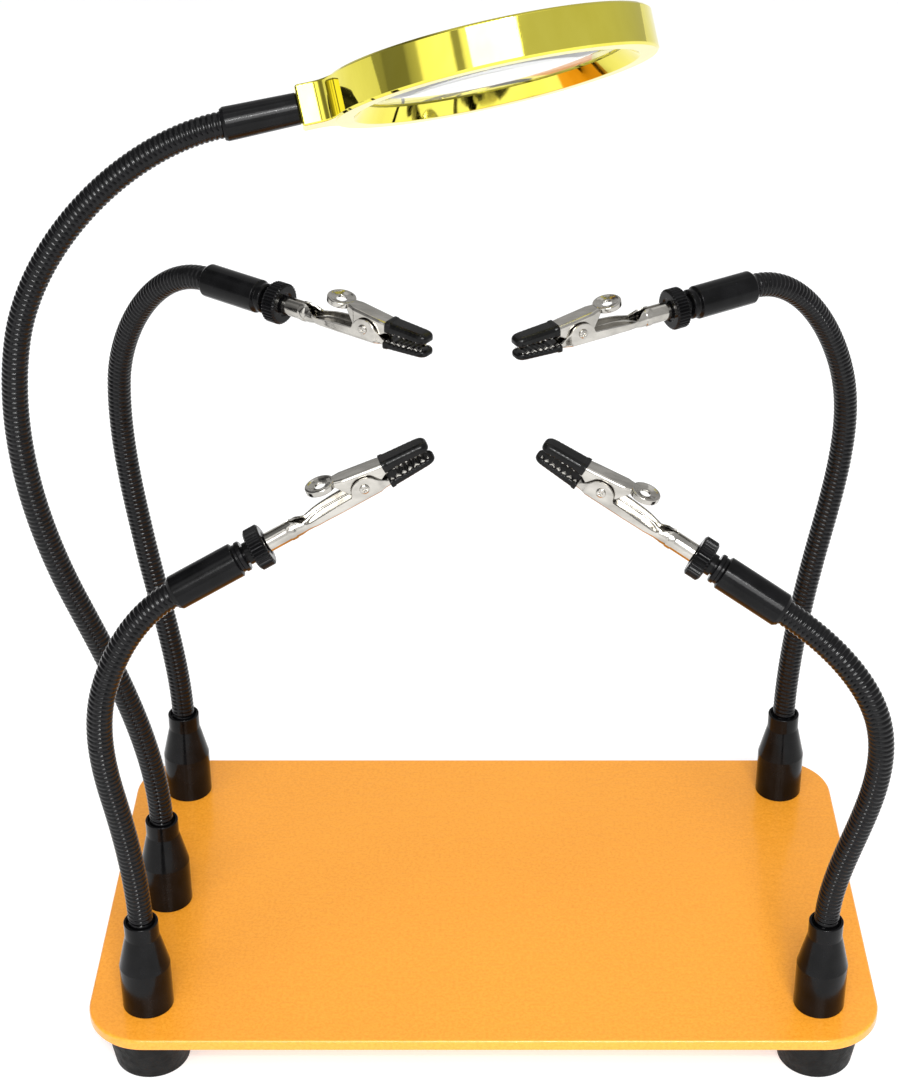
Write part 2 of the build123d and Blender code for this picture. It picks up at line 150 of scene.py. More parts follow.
def rounded(points, steps=4):
    """Polyline whose corners are rounded where a point has a third number, its radius."""
    longest = 0.49
    out = []
    for i, point in enumerate(points):
        here = Vector(point[:2])
        radius = point[2] if len(point) > 2 else 0
        if radius == 0 or i in (0, len(points) - 1):
            out.append(tuple(here))
            continue
        to_last = Vector(points[i - 1][:2]) - here
        to_next = Vector(points[i + 1][:2]) - here
        before, after = to_last.normalized(), to_next.normalized()
        half = before.angle(after) / 2
        back = min(radius / math.tan(half), longest * to_last.length, longest * to_next.length)
        start, end = here + before * back, here + after * back
        for k in range(steps + 1):
            t = k / steps
            out.append(tuple((1 - t) ** 2 * start + 2 * t * (1 - t) * here + t * t * end))
    return out


def lathe(profile, axis="X", segments=64, ripple=None):
    """Turned part from (position along the axis, radius) points, open at ends that don't reach the axis.

    ripple(radius, k, segments) gives the radius at a segment of a part that isn't round."""
    pole, on_axis = 1e-4, 1e-3
    rows = []
    for along, radius in profile:
        row = []
        for k in range(segments):
            a = 2 * math.pi * k / segments
            r = max(ripple(radius, k, segments) if ripple else radius, pole)
            u, v = r * math.cos(a), r * math.sin(a)
            row.append((along, u, v) if axis == "X" else (u, v, along))
        rows.append(row)
    return skin(rows, start_cap=profile[0][1] < on_axis, end_cap=profile[-1][1] < on_axis)


def lerp(a, b, t):
    """The value a share t of the way from a to b."""
    return a + (b - a) * t


def spread(stations, step):
    """Tuples of numbers, the first of which runs along the part, filled in between at about a step."""
    out = []
    for a, b in zip(stations, stations[1:]):
        count = max(1, round(abs(b[0] - a[0]) / step))
        out += [tuple(lerp(p, q, k / count) for p, q in zip(a, b)) for k in range(count)]
    return out + [stations[-1]]


def thicken(obj):
    """Sheet metal: gives an open skin its thickness, inwards, and its edges a small break."""
    solid = obj.modifiers.new("sheet", "SOLIDIFY")
    solid.thickness = SHEET * MM
    solid.offset = -1.0
    solid.use_even_offset = True
    edge = obj.modifiers.new("edges", "BEVEL")
    edge.width = SHEET_EDGE * MM
    edge.segments = 2
    edge.limit_method = "ANGLE"
    edge.angle_limit = math.radians(50)
    return obj


# ---------------------------------------------------------------- materials

def nodes_of(name):
    """A new material, its node tree, its shader and its object coordinates."""
    mat = bpy.data.materials.new(name)
    mat.use_nodes = True
    tree = mat.node_tree
    return mat, tree, tree.nodes["Principled BSDF"], tree.nodes.new("ShaderNodeTexCoord")


def noise(tree, coords, scale, detail=3.0, rough=0.55, stretch=None):
    """Noise in object space; scale counts features per metre."""
    tex = tree.nodes.new("ShaderNodeTexNoise")
    tex.inputs["Scale"].default_value = scale
    tex.inputs["Detail"].default_value = detail
    tex.inputs["Roughness"].default_value = rough
    source = coords.outputs["Object"]
    if stretch:
        mapping = tree.nodes.new("ShaderNodeMapping")
        mapping.inputs["Scale"].default_value = stretch
        tree.links.new(source, mapping.inputs["Vector"])
        source = mapping.outputs["Vector"]
    tree.links.new(source, tex.inputs["Vector"])
    return tex.outputs["Fac"]


def spread_value(tree, value, low, high, start=0.35, end=0.65):
    """A noise value mapped to a range."""
    node = tree.nodes.new("ShaderNodeMapRange")
    node.inputs["From Min"].default_value = start
    node.inputs["From Max"].default_value = end
    node.inputs["To Min"].default_value = low
    node.inputs["To Max"].default_value = high
    tree.links.new(value, node.inputs["Value"])
    return node.outputs["Result"]


def two_tone(tree, value, dark, light, start=0.35, end=0.65):
    """A noise value mapped between two colours."""
    ramp = tree.nodes.new("ShaderNodeValToRGB")
    ramp.color_ramp.elements[0].position = start
    ramp.color_ramp.elements[1].position = end
    ramp.color_ramp.elements[0].color = (*dark, 1)
    ramp.color_ramp.elements[1].color = (*light, 1)
    tree.links.new(value, ramp.inputs["Fac"])
    return ramp.outputs["Color"]


def bump(tree, value, shader, distance, strength=1.0, under=None):
    """Relief of a height in mm; with under, it goes on top of an earlier relief."""
    node = tree.nodes.new("ShaderNodeBump")
    node.inputs["Strength"].default_value = strength
    node.inputs["Distance"].default_value = distance * MM
    tree.links.new(value, node.inputs["Height"])
    if under:
        tree.links.new(under.outputs["Normal"], node.inputs["Normal"])
    tree.links.new(node.outputs["Normal"], shader.inputs["Normal"])
    return node


def surface(name, dark, light, roughness, tone_scale, bump_scale, bump_height, metallic=0.0,
            stretch=None, strength=1.0, specular=0.5):
    """A finish with uneven tone, uneven gloss between two roughnesses, and a fine relief."""
    mat, tree, shader, coords = nodes_of(name)
    tone = noise(tree, coords, tone_scale, stretch=stretch)
    tree.links.new(two_tone(tree, tone, dark, light), shader.inputs["Base Color"])
    gloss = noise(tree, coords, tone_scale * 2.3, detail=5, stretch=stretch)
    tree.links.new(spread_value(tree, gloss, *roughness), shader.inputs["Roughness"])
    shader.inputs["Metallic"].default_value = metallic
    shader.inputs["Specular IOR Level"].default_value = specular
    bump(tree, noise(tree, coords, bump_scale, detail=4, stretch=stretch), shader, bump_height, strength)
    return mat


def powder_coat():
    """Glossy orange powder coat: a long orange-peel relief over a fine mottle of darker grains."""
    mat, tree, shader, coords = nodes_of("plate_powder_coat")
    mottle = noise(tree, coords, 1300, detail=4, rough=0.7)
    drift = noise(tree, coords, 11, detail=2)
    grain = two_tone(tree, mottle, (0.83, 0.305, 0.018), (0.92, 0.37, 0.032), 0.38, 0.6)
    broad = two_tone(tree, drift, (0.95, 0.94, 0.93), (1.0, 1.0, 1.0))
    mix = tree.nodes.new("ShaderNodeMixRGB")
    mix.blend_type = "MULTIPLY"
    mix.inputs["Fac"].default_value = 1.0
    tree.links.new(grain, mix.inputs["Color1"])
    tree.links.new(broad, mix.inputs["Color2"])
    tree.links.new(mix.outputs["Color"], shader.inputs["Base Color"])
    tree.links.new(spread_value(tree, mottle, 0.3, 0.45), shader.inputs["Roughness"])
    shader.inputs["Specular IOR Level"].default_value = 0.35
    shader.inputs["Coat Weight"].default_value = 0.45
    shader.inputs["Coat Roughness"].default_value = 0.12
    peel = bump(tree, noise(tree, coords, 420, detail=2, stretch=(0.55, 1.0, 1.0)), shader, 0.16, 0.8)
    bump(tree, mottle, shader, 0.03, 0.4, under=peel)
    return mat


def lens_glass():
    """Clear crown glass with the faint unevenness of a handled lens."""
    mat, tree, shader, coords = nodes_of("lens_glass")
    shader.inputs["Transmission Weight"].default_value = 1.0
    shader.inputs["IOR"].default_value = 1.5
    smudge = noise(tree, coords, 45, detail=5)
    tree.links.new(spread_value(tree, smudge, 0.0, 0.03, 0.5, 0.75), shader.inputs["Roughness"])
    tint = two_tone(tree, noise(tree, coords, 20), (0.95, 0.975, 0.97), (0.99, 1.0, 0.995))
    tree.links.new(tint, shader.inputs["Base Color"])
    return mat


ORANGE = powder_coat()
ENAMEL = surface("black_enamel", (0.002, 0.002, 0.0022), (0.005, 0.005, 0.0055), (0.12, 0.22),
                 160, 1400, 0.02, strength=0.5, specular=0.14)
NECK = surface("neck_black_steel", (0.0015, 0.0015, 0.0018), (0.004, 0.004, 0.0045), (0.1, 0.2),
               420, 2600, 0.02, strength=0.4, specular=0.2)
FOOT = surface("foot_rubber", (0.003, 0.003, 0.003), (0.008, 0.008, 0.0078), (0.45, 0.62),
               220, 1800, 0.06, specular=0.13)
BOOT = surface("boot_rubber", (0.002, 0.002, 0.002), (0.005, 0.005, 0.005), (0.12, 0.22),
               260, 2200, 0.02, strength=0.5, specular=0.18)
NICKEL = surface("clip_nickel", (0.38, 0.365, 0.335), (0.54, 0.52, 0.48), (0.09, 0.17),
                 300, 2400, 0.012, metallic=1.0, stretch=(0.35, 1.0, 1.0), strength=0.5)
SCREW = surface("screw_zinc", (0.5, 0.5, 0.52), (0.66, 0.67, 0.69), (0.24, 0.4),
                400, 3000, 0.02, metallic=1.0)
SPRING = surface("spring_wire", (0.36, 0.36, 0.37), (0.52, 0.52, 0.53), (0.22, 0.38),
                 600, 3500, 0.015, metallic=1.0)
GOLD = surface("ring_gold", (0.80, 0.71, 0.09), (0.87, 0.785, 0.12), (0.03, 0.07),
               90, 700, 0.008, metallic=1.0, stretch=(1.0, 1.0, 0.3), strength=0.3)
KEEPER = surface("keeper_gold", (0.62, 0.52, 0.06), (0.7, 0.59, 0.08), (0.05, 0.1),
                 90, 700, 0.008, metallic=1.0, strength=0.3)
GLASS = lens_glass()


def finished(obj, body, *replaced):
    """A rigid piece: it rides on its body, may stand for CAD nodes, and its flat faces are shaded flat."""
    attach(obj, body)
    if replaced:
        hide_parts(*replaced)
    smooth = obj.modifiers.new("normals", "WEIGHTED_NORMAL")
    smooth.keep_sharp = True
    return obj


# ---------------------------------------------------------------- base

def plate():
    """Plate with rounded corners, its upper edge rounded and its lower edge just broken."""
    edge, broken, corner_steps = 0.7, 0.35, 16
    middle_x, middle_y = PLATE_WIDTH / 2 - PLATE_CORNER, PLATE_DEPTH / 2 - PLATE_CORNER
    profile = [(broken, FOOT_HEIGHT), (broken * 0.35, FOOT_HEIGHT + broken * 0.3),
               (0.0, FOOT_HEIGHT + broken)]
    for degrees in (0, 22.5, 45, 67.5, 90):
        a = math.radians(degrees)
        profile.append((edge * (1 - math.cos(a)), PLATE_TOP - edge * (1 - math.sin(a))))
    rings = []
    for inset, z in profile:
        ring = []
        for sx, sy, start in ((1, 1, 0), (-1, 1, 90), (-1, -1, 180), (1, -1, 270)):
            for k in range(corner_steps + 1):
                a = math.radians(start + 90 * k / corner_steps)
                r = PLATE_CORNER - inset
                ring.append((sx * middle_x + r * math.cos(a), sy * middle_y + r * math.sin(a), z))
        rings.append(ring)
    body = skin(rings, start_cap=True, end_cap=True)
    obj = make("plate", [body], Matrix.Translation((PLATE_CENTRE_X, 0, 0)), ORANGE, 50)
    return finished(obj, "base", "base_plate")


def feet():
    """Tapered rubber feet with a rolled lower edge and a counterbore for the screw."""
    hole, counterbore, counterbore_depth = 2.1, 4.2, 5.0
    profile = rounded([(counterbore_depth, hole), (counterbore_depth, counterbore), (0.4, counterbore),
                       (0.0, 4.8), (0.0, 9.4, 0.9), (12.9, 11.4, 0.8), (FOOT_HEIGHT, 11.5, 0.5),
                       (FOOT_HEIGHT, hole)], 5)
    parts = []
    for name in CLIP_ARMS:
        x, y = ARMS[name]["at"]
        parts.append(moved(lathe(profile, "Z", 72), Matrix.Translation((x + PLATE_CENTRE_X, y, 0))))
    return finished(make("feet", parts, Matrix.Identity(4), FOOT), "base", "rubber_feet")


# ---------------------------------------------------------------- arms

NECK_RADIUS = 3.1
RIB_PITCH = 1.25
RIB_HEIGHT = 0.45
NECK_FOOT = 20.0
NECK_MOUTH = 26.5
NECK_INSIDE = 3.0


def bezier(p0, a0, p1, a1, count=160):
    """Points in an arm's plane from one place and direction to another."""
    p0, p1 = Vector((p0[0], 0, p0[1])), Vector((p1[0], 0, p1[1]))
    reach = (p1 - p0).length / 3
    d0 = Vector((math.cos(math.radians(a0)), 0, math.sin(math.radians(a0))))
    d1 = Vector((math.cos(math.radians(a1)), 0, math.sin(math.radians(a1))))
    c0, c1 = p0 + d0 * reach, p1 - d1 * reach
    out = []
    for k in range(count):
        t = k / count
        s = 1 - t
        out.append(s ** 3 * p0 + 3 * s * s * t * c0 + 3 * s * t * t * c1 + t ** 3 * p1)
    return out


def centreline(arm):
    """Dense line of a gooseneck, with its length at each point, and the length at each bend."""
    low, high, end = arm["low"], arm["high"], arm["ferrule"]
    line = [Vector((0, 0, NECK_FOOT)), Vector((0, 0, NECK_FOOT + NECK_INSIDE))]
    line += bezier((0, NECK_MOUTH), 90, low[:2], low[2])
    at_low = len(line)
    line += bezier(low[:2], low[2], high[:2], high[2])
    at_high = len(line)
    line += bezier(high[:2], high[2], end[:2], end[2])
    a = math.radians(end[2])
    mouth = Vector((end[0], 0, end[1]))
    line += [mouth, mouth + Vector((math.cos(a), 0, math.sin(a))) * NECK_INSIDE]
    lengths = [0.0]
    for p, q in zip(line, line[1:]):
        lengths.append(lengths[-1] + (q - p).length)
    return line, lengths, lengths[at_low], lengths[at_high]


def point_at(line, lengths, s):
    """Place and direction on a line at a length along it."""
    i = max(1, min(len(line) - 1, next((k for k, v in enumerate(lengths) if v >= s), len(line) - 1)))
    t = (s - lengths[i - 1]) / max(lengths[i] - lengths[i - 1], 1e-9)
    return line[i - 1].lerp(line[i], t), (line[i] - line[i - 1]).normalized()


def ribbed_tube(line, lengths, start, end):
    """Gooseneck skin: one round rib per turn of the winding, running as a helix."""
    around, per_rib, roundness = 28, 6, 0.97
    step = RIB_PITCH / per_rib
    rows = []
    for k in range(int(math.floor(start / step)), int(math.ceil(end / step)) + 1):
        s = min(max(k * step, start), end)
        centre, along = point_at(line, lengths, s)
        side = Vector((0, 1, 0))
        up = along.cross(side)
        row = []
        for i in range(around):
            a = 2 * math.pi * i / around
            turn = (s / RIB_PITCH + i / around) % 1.0
            rise = math.sqrt(max(0.0, 1 - (2 * turn - 1) ** 2 * roundness))
            r = NECK_RADIUS - RIB_HEIGHT * (1 - rise)
            row.append(tuple(centre + side * (r * math.cos(a)) + up * (r * math.sin(a))))
        rows.append(row)
    return skin(rows, start_cap=True, end_cap=True)


def gooseneck(name, arm, last_body):
    """Two lengths of ribbed neck that meet in the middle of the middle body."""
    line, lengths, low, high = centreline(arm)
    seam = (low + high) / 2
    place = arm_matrix(arm)
    for label, start, end, bend, bodies, nodes in (
        ("lower", 0.0, seam, low, (f"{name}_lower", f"{name}_middle"),
         ("gooseneck_lower", "gooseneck_middle")),
        ("upper", seam, lengths[-1], high, (f"{name}_middle", last_body), ("gooseneck_upper",)),
    ):
        obj = make(f"{name}_neck_{label}", [ribbed_tube(line, lengths, start, end)], place, NECK, 80)
        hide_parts(*[f"{name}_{node}" for node in nodes])
        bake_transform(obj)


def socket(name, arm):
    """Turned black cup: straight skirt, cone and collar with an open mouth round the neck."""
    skirt, collar, top = 6.4, 4.3, NECK_MOUTH
    profile = rounded([(0.0, 2.2), (0.0, skirt, 0.35), (13.0, skirt, 1.2), (22.0, collar, 1.2),
                       (top, collar, 0.35), (top, 3.65, 0.2), (25.3, 3.5, 0.2), (24.9, 2.6)], 5)
    obj = make(f"{name}_cup", [lathe(profile, "Z", 72)], arm_matrix(arm), ENAMEL)
    return finished(obj, f"{name}_lower", f"{name}_socket")


def sleeve_tube(name, arm):
    """Black ferrule of a clip arm, with its bevelled back and grooved nose."""
    body, nose, groove = 4.15, 3.7, 3.4
    profile = rounded([(-18.3, 2.6), (-18.9, 3.3), (-CLIP_FERRULE, 3.5, 0.15), (-18.1, body, 0.35),
                       (-2.3, body, 0.25), (-1.9, groove, 0.12), (-1.3, groove, 0.12), (-1.1, nose, 0.1),
                       (-0.3, nose, 0.15), (0.0, groove, 0.1), (0.0, 2.2)], 4)
    obj = make(f"{name}_sleeve", [lathe(profile, "X", 64)], nose_matrix(arm), ENAMEL)
    return finished(obj, f"{name}_upper", f"{name}_ferrule")


# ---------------------------------------------------------------- clips, in the clip's frame

PIVOT_X, PIVOT_Z = 31.5, 2.0
TOOTH_START, TOOTH_PITCH, TOOTH_DEPTH, JAW_END = 37.9, 1.6, 0.7, 47.5
PAD_X, PAD_RADIUS = 23.0, 3.55
LEVER_HEIGHT, LEVER_SLOPE = 7.0, 8.5
LOWER_BOOT_FROM_PIVOT, UPPER_BOOT_FROM_PIVOT, BOOT_END = 5.6, 5.8, 48.75
SPRING_RADIUS, SPRING_WIRE, SPRING_HALF, SPRING_TURNS = 1.45, 0.28, 1.125, 3
SPRING_LEG_X = PIVOT_X - 4.0


def thumb_wheel():
    """Knurled wheel on its waist, with the boss that the clip's barrel is crimped on."""
    grooves, groove_depth, groove_share, knurled_from = 36, 0.34, 0.6, 4.9
    neck, waist, wheel, boss = 2.1, 2.7, 5.1, 1.85

    def knurl(radius, k, segments):
        if radius < knurled_from:
            return radius
        turn = (k * grooves / segments) % 1.0
        return radius - groove_depth * max(0.0, 1 - (abs(2 * turn - 1) / groove_share) ** 2)

    profile = rounded([(-0.6, neck), (0.4, neck), (0.4, waist, 0.15), (1.6, waist, 0.15), (1.8, 3.1),
                       (1.8, 4.5, 0.2), (2.25, wheel), (5.15, wheel), (5.6, 4.5, 0.2), (5.6, 3.0, 0.2),
                       (5.3, 2.6, 0.2), (5.3, boss), (8.0, boss)], 4)
    return lathe(profile, "X", grooves * 8, knurl)


def lerp_rows(a, b, t):
    """The row of points a share t of the way from row a to row b."""
    return [tuple(lerp(p, q, t) for p, q in zip(u, v)) for u, v in zip(a, b)]


def trough(x, half, floor, top, corner):
    """U-shaped section at x, from one wall's edge down, across and up to the other's."""
    side, bend, across = 7, 6, 6
    row = [(x, -half, lerp(top, floor + corner, k / side)) for k in range(side)]
    row += [(x, -half + corner * (1 - math.cos(a)), floor + corner * (1 - math.sin(a)))
            for a in (math.radians(90 * k / bend) for k in range(bend))]
    row += [(x, lerp(-half + corner, half - corner, k / across), floor) for k in range(across + 1)]
    return row + [(px, -py, pz) for px, py, pz in reversed(row[:-across - 1])]


def barrel(x, radius, gap, count):
    """Nearly closed crimp barrel's section at x, its gap of gap degrees at the top."""
    open_half = math.radians(180 - gap / 2)
    row = []
    for k in range(count):
        a = lerp(-open_half, open_half, k / (count - 1))
        row.append((x, radius * math.sin(a), -radius * math.cos(a)))
    return row


def tooth_stations(row):
    """Stations every half tooth along a jaw; row(x, depth) gives one, with its edge cut by a depth."""
    out = []
    count = round((JAW_END - TOOTH_START) / TOOTH_PITCH * 2)
    for k in range(count + 1):
        out.append(row(TOOTH_START + k * TOOTH_PITCH / 2, TOOTH_DEPTH if k % 2 else 0.0))
    return out


def lower_jaw():
    """Trough with rivet ears and teeth that narrows to a collar and a crimped barrel."""
    floor, ear_half, ear_x, ear_length, ear_foot, ear_rise = -1.0, 3.3, 31.6, 3.4, 1.4, 3.1
    waist_end, trough_start, ear_steps, bridge_steps = 14.0, 15.8, 16, 6

    def front(x, cut):
        t = (x - TOOTH_START) / (JAW_END - TOOTH_START)
        return (x, lerp(2.45, 1.9, t), floor, TOOTH_DEPTH - cut, 0.5)

    stations = spread([(trough_start, 2.35, -1.6, 0.5, 1.3), (17.0, 2.8, -1.3, 0.55, 1.1),
                       (18.6, 3.1, -1.15, 0.8, 0.9), (20.5, 3.25, floor, 1.0, 0.8),
                       (24.0, ear_half, floor, 1.25, 0.7), (27.9, ear_half, floor, ear_foot, 0.7)], 0.6)
    for k in range(1, ear_steps):
        a = math.radians(180 - 160 * k / ear_steps)
        stations.append((ear_x + ear_length * math.cos(a), ear_half, floor,
                         ear_foot + ear_rise * math.sin(a), 0.7))
    stations += spread([(35.2, 2.95, floor, 2.1, 0.7), (36.0, 2.6, floor, 1.2, 0.6),
                        (36.8, 2.5, floor, 0.5, 0.6), (37.5, 2.47, floor, 0.2, 0.6)], 0.4)
    rows = [trough(*station) for station in stations + tooth_stations(front)]
    count = len(rows[0])
    crimp = [barrel(x, r, gap, count) for x, r, gap in
             ((5.7, 2.2, 34), (5.8, 2.3, 30), (6.0, 2.3, 30), (11.0, 2.3, 26), (11.2, 2.3, 26),
              (11.45, 2.46, 26), (12.6, 2.46, 32), (12.85, 2.3, 38), (13.4, 2.28, 52),
              (waist_end, 2.3, 74))]
    bridge = []
    for k in range(1, bridge_steps):
        t = k / bridge_steps
        x = lerp(waist_end, trough_start, t)
        bridge.append([(x, y, z) for _, y, z in lerp_rows(crimp[-1], rows[0], t)])
    return skin(crimp + bridge + rows, closed=False)


def lever_top(x):
    """Height of the lever's upper face, which slopes down from the pad to the jaw's tip."""
    return LEVER_HEIGHT - (x - PAD_X) * math.tan(math.radians(LEVER_SLOPE))


def upper_jaw():
    """Inverted trough whose walls drop to the rivet and run on into the toothed front."""
    half, corner, tooth_share = 2.4, 0.8, 0.7

    def station(x, half, bottom, corner):
        top = lever_top(x)
        row = trough(x, half, -top, -bottom, min(corner, (top - bottom) * 0.8))
        return [(px, -py, -pz) for px, py, pz in row]

    def front(x, cut):
        t = (x - TOOTH_START) / (JAW_END - TOOTH_START)
        return (x, lerp(2.25, 1.8, t), lerp(2.3, 2.0, t) + cut * tooth_share, 0.6)

    tail = [(24.8, 1.55, lever_top(24.8) - 0.9, 0.6), (25.4, 1.65, lever_top(25.4) - 1.1, 0.7),
            (26.4, 1.95, 4.2, corner), (27.9, half, 1.9, corner)]
    cheek = [(29.5, half, 0.65, corner), (33.5, half, 0.6, corner), (35.8, half, 1.5, corner),
             (37.2, 2.3, 2.3, corner)]
    stations = spread(tail + cheek, 0.5) + tooth_stations(front)
    return skin([station(*values) for values in stations], closed=False)


def thumb_pad():
    """Dished round pad with a rolled rim and a hole."""
    rim, hole, under, skirt = PAD_RADIUS, 1.3, -0.95, -1.35
    profile = rounded([(under, hole), (-0.45, hole - 0.02, 0.12), (-0.38, 1.8, 0.3), (-0.1, 2.6, 0.5),
                       (0.12, 3.0, 0.25), (0.0, rim, 0.45), (skirt, rim, 0.25), (skirt, rim - 0.4, 0.2),
                       (-0.8, rim - 0.6, 0.3), (under, hole)], 5)
    slope = Matrix.Rotation(math.radians(LEVER_SLOPE), 4, "Y")
    return moved(lathe(profile, "Z", 64), Matrix.Translation((PAD_X, 0, lever_top(PAD_X))) @ slope)


def rivet():
    """Rivet with a domed, punched head on each ear."""
    head = rounded([(3.1, 0.8), (3.3, 1.2, 0.05), (3.6, 1.14, 0.2), (3.8, 0.75, 0.15), (3.74, 0.5, 0.1),
                    (3.4, 0.3, 0.1), (3.35, 0.0)], 4)
    mirrored = [(-x, r) for x, r in reversed(head)]
    across = Matrix.Rotation(math.radians(90), 4, "Z")
    return moved(lathe(mirrored + head, "X", 40), Matrix.Translation((PIVOT_X, 0, PIVOT_Z)) @ across)


def wire(points):
    """Round spring wire along a list of points."""
    around = 10
    rows = []
    for i, point in enumerate(points):
        along = (points[min(i + 1, len(points) - 1)] - points[max(i - 1, 0)]).normalized()
        side = along.cross(Vector((0, 1, 0.3))).normalized()
        up = along.cross(side)
        rows.append([tuple(point + SPRING_WIRE * (side * math.cos(a) + up * math.sin(a)))
                     for a in (2 * math.pi * k / around for k in range(around))])
    return skin(rows, start_cap=True, end_cap=True)


def spring_coil():
    """Torsion spring's coil round the rivet, with the leg that stands in the trough."""
    pivot = Vector((PIVOT_X, 0, PIVOT_Z))
    per_turn = 24
    coil = []
    for k in range(per_turn * SPRING_TURNS + 1):
        a = math.radians(180 + 360 * k / per_turn)
        y = SPRING_HALF - 2 * SPRING_HALF * k / (per_turn * SPRING_TURNS)
        coil.append(pivot + Vector((SPRING_RADIUS * math.cos(a), y, SPRING_RADIUS * math.sin(a))))
    leg = [coil[-1], Vector((SPRING_LEG_X, -SPRING_HALF, 0.0))]
    return [wire(coil), wire(leg)]


def spring_leg():
    """The spring's other leg, which stays under the lever and turns with it."""
    under_lever = lever_top(SPRING_LEG_X) - SHEET - 0.6
    return wire([Vector((PIVOT_X - SPRING_RADIUS, SPRING_HALF, PIVOT_Z)),
                 Vector((SPRING_LEG_X, SPRING_HALF - 0.5, under_lever))])


def rounded_box(x, half, low, high, corners, count=8):
    """Rounded section at x; corners are the upper and the lower radius."""
    ring = []
    for sy, z, sz, start, r in ((1, high, 1, 0, corners[0]), (-1, high, 1, 90, corners[0]),
                                (-1, low, -1, 180, corners[1]), (1, low, -1, 270, corners[1])):
        for k in range(count):
            a = math.radians(start + 90 * k / (count - 1))
            ring.append((x, sy * (half - r) + r * math.cos(a), z - sz * r + r * math.sin(a)))
    return ring


def boot(start, back, nose, outer, inner, ribs_on_top):
    """Tapered boot between two (half width, low, high) sections, with a lip at its mouth.

    Its biting face is ribbed; outer and inner are the corner radii away from that face and beside it."""
    lip, rib_depth, rib_step, tip = 0.12, 0.25, 0.3, 1.9

    def ring(x, grow=0.0, cut=0.0, squeeze=1.0):
        t = (x - start) / (BOOT_END - start)
        half, low, high = [lerp(p, q, t) for p, q in zip(back, nose)]
        mid = (low + high) / 2
        half = (half + grow) * squeeze
        low = mid + (low - grow - mid) * squeeze + (0.0 if ribs_on_top else cut)
        high = mid + (high + grow - mid) * squeeze - (cut if ribs_on_top else 0.0)
        cap = 0.49 * min(high - low, 2 * half)
        radii = (inner, outer) if ribs_on_top else (outer, inner)
        return rounded_box(x, half, low, high, [min(r * squeeze, cap) for r in radii])

    rings = [ring(start + 0.6, -0.55), ring(start + 0.05, -0.45), ring(start, -0.1), ring(start + 0.1),
             ring(start + 0.9), ring(start + 1.15, -lip)]
    first, last = start + 1.3, BOOT_END - tip
    count = round((last - first) / rib_step)
    for k in range(1, count + 1):
        groove = rib_depth if k % 4 in (1, 2) and k > 4 else 0.0
        rings.append(ring(lerp(first, last, k / count), -lip, groove))
    for degrees in (20, 38, 54, 66, 76, 84, 88):
        a = math.radians(degrees)
        squeeze = lip + (1 - lip) * math.cos(a) ** 0.8
        rings.append(ring(last + tip * math.sin(a), -lip, 0.0, squeeze))
    return skin(rings, start_cap=True, end_cap=True)


def clip(name, arm):
    """Every visible piece of one crocodile clip."""
    place = nose_matrix(arm)
    body, lever = f"{name}_clip", f"{name}_lever"
    wheel = make(f"{name}_wheel", [thumb_wheel()], place, ENAMEL, 30)
    finished(wheel, body, f"{name}_thumb_screw")
    jaw = make(f"{name}_jaw_lower", [lower_jaw()], place, NICKEL, 50)
    finished(thicken(jaw), body, f"{name}_lower_jaw")
    pin = make(f"{name}_rivet", [rivet()], place, NICKEL)
    finished(pin, body, f"{name}_jaw_rivet")
    finished(make(f"{name}_spring_coil", spring_coil(), place, SPRING), body, f"{name}_jaw_spring")
    finished(make(f"{name}_spring_leg", [spring_leg()], place, SPRING), lever)
    start = PIVOT_X + LOWER_BOOT_FROM_PIVOT
    below = boot(start, (3.1, -1.7, 0.3), (2.4, -1.5, 0.45), 0.8, 0.45, True)
    finished(make(f"{name}_boot_lower", [below], place, BOOT, 50), body, f"{name}_lower_sleeve")
    top = make(f"{name}_jaw_upper", [upper_jaw()], place, NICKEL, 50)
    finished(thicken(top), lever, f"{name}_upper_jaw")
    finished(make(f"{name}_pad", [thumb_pad()], place, NICKEL), lever)
    start = PIVOT_X + UPPER_BOOT_FROM_PIVOT
    back, nose = (2.7, 2.4, lever_top(start) + 0.4), (2.5, 1.75, lever_top(BOOT_END) + 1.3)
    above = boot(start, back, nose, 1.2, 0.6, False)
    finished(make(f"{name}_boot_upper", [above], place, BOOT, 50), lever, f"{name}_upper_sleeve")


# ---------------------------------------------------------------- magnifier

HEAD_REACH = 44.5
HEAD_TILT = 27.0
RIM_RADIUS = 37.5
RIM_HALF = 4.75


def rim():
    """Round rim with an inner flange, and the flared block that joins it to its ferrule."""
    flange, bore, seat = 30.2, 35.2, -1.2
    ring = rounded([(-1.6, flange, 0.25), (-RIM_HALF, 33.0, 0.35), (-RIM_HALF, 37.0, 0.15),
                    (-4.25, RIM_RADIUS, 0.2), (0.0, RIM_RADIUS), (4.25, RIM_RADIUS, 0.2),
                    (RIM_HALF, 37.0, 0.15), (RIM_HALF, 35.3, 0.15), (1.0, bore), (seat, bore),
                    (seat, flange), (-1.6, flange)], 5)
    block = []
    for x, half, high in ((-HEAD_REACH, 4.1, 4.1), (-44.4, 4.4, 4.4), (-44.0, 4.7, 4.68),
                          (-40.8, 4.7, 4.68), (-39.8, 4.85, 4.68), (-38.9, 5.3, 4.68),
                          (-38.0, 6.1, 4.66), (-37.2, 7.3, 4.62), (-36.5, 9.0, 4.55), (-35.8, 11.0, 4.4)):
        block.append(rounded_box(x, half, -high, high, (0.45, 0.45)))
    return [lathe(ring, "Z", 192), skin(block, start_cap=True)]


def retaining_ring():
    """Ring that holds the lens down in the rim."""
    inner, outer, low, high = 31.0, 35.0, 0.8, 4.2
    return lathe(rounded([(low, 31.2), (3.4, inner, 0.1), (high, 32.0, 0.2), (high, outer, 0.15),
                          (low, outer), (low, 31.2)], 4), "Z", 160)


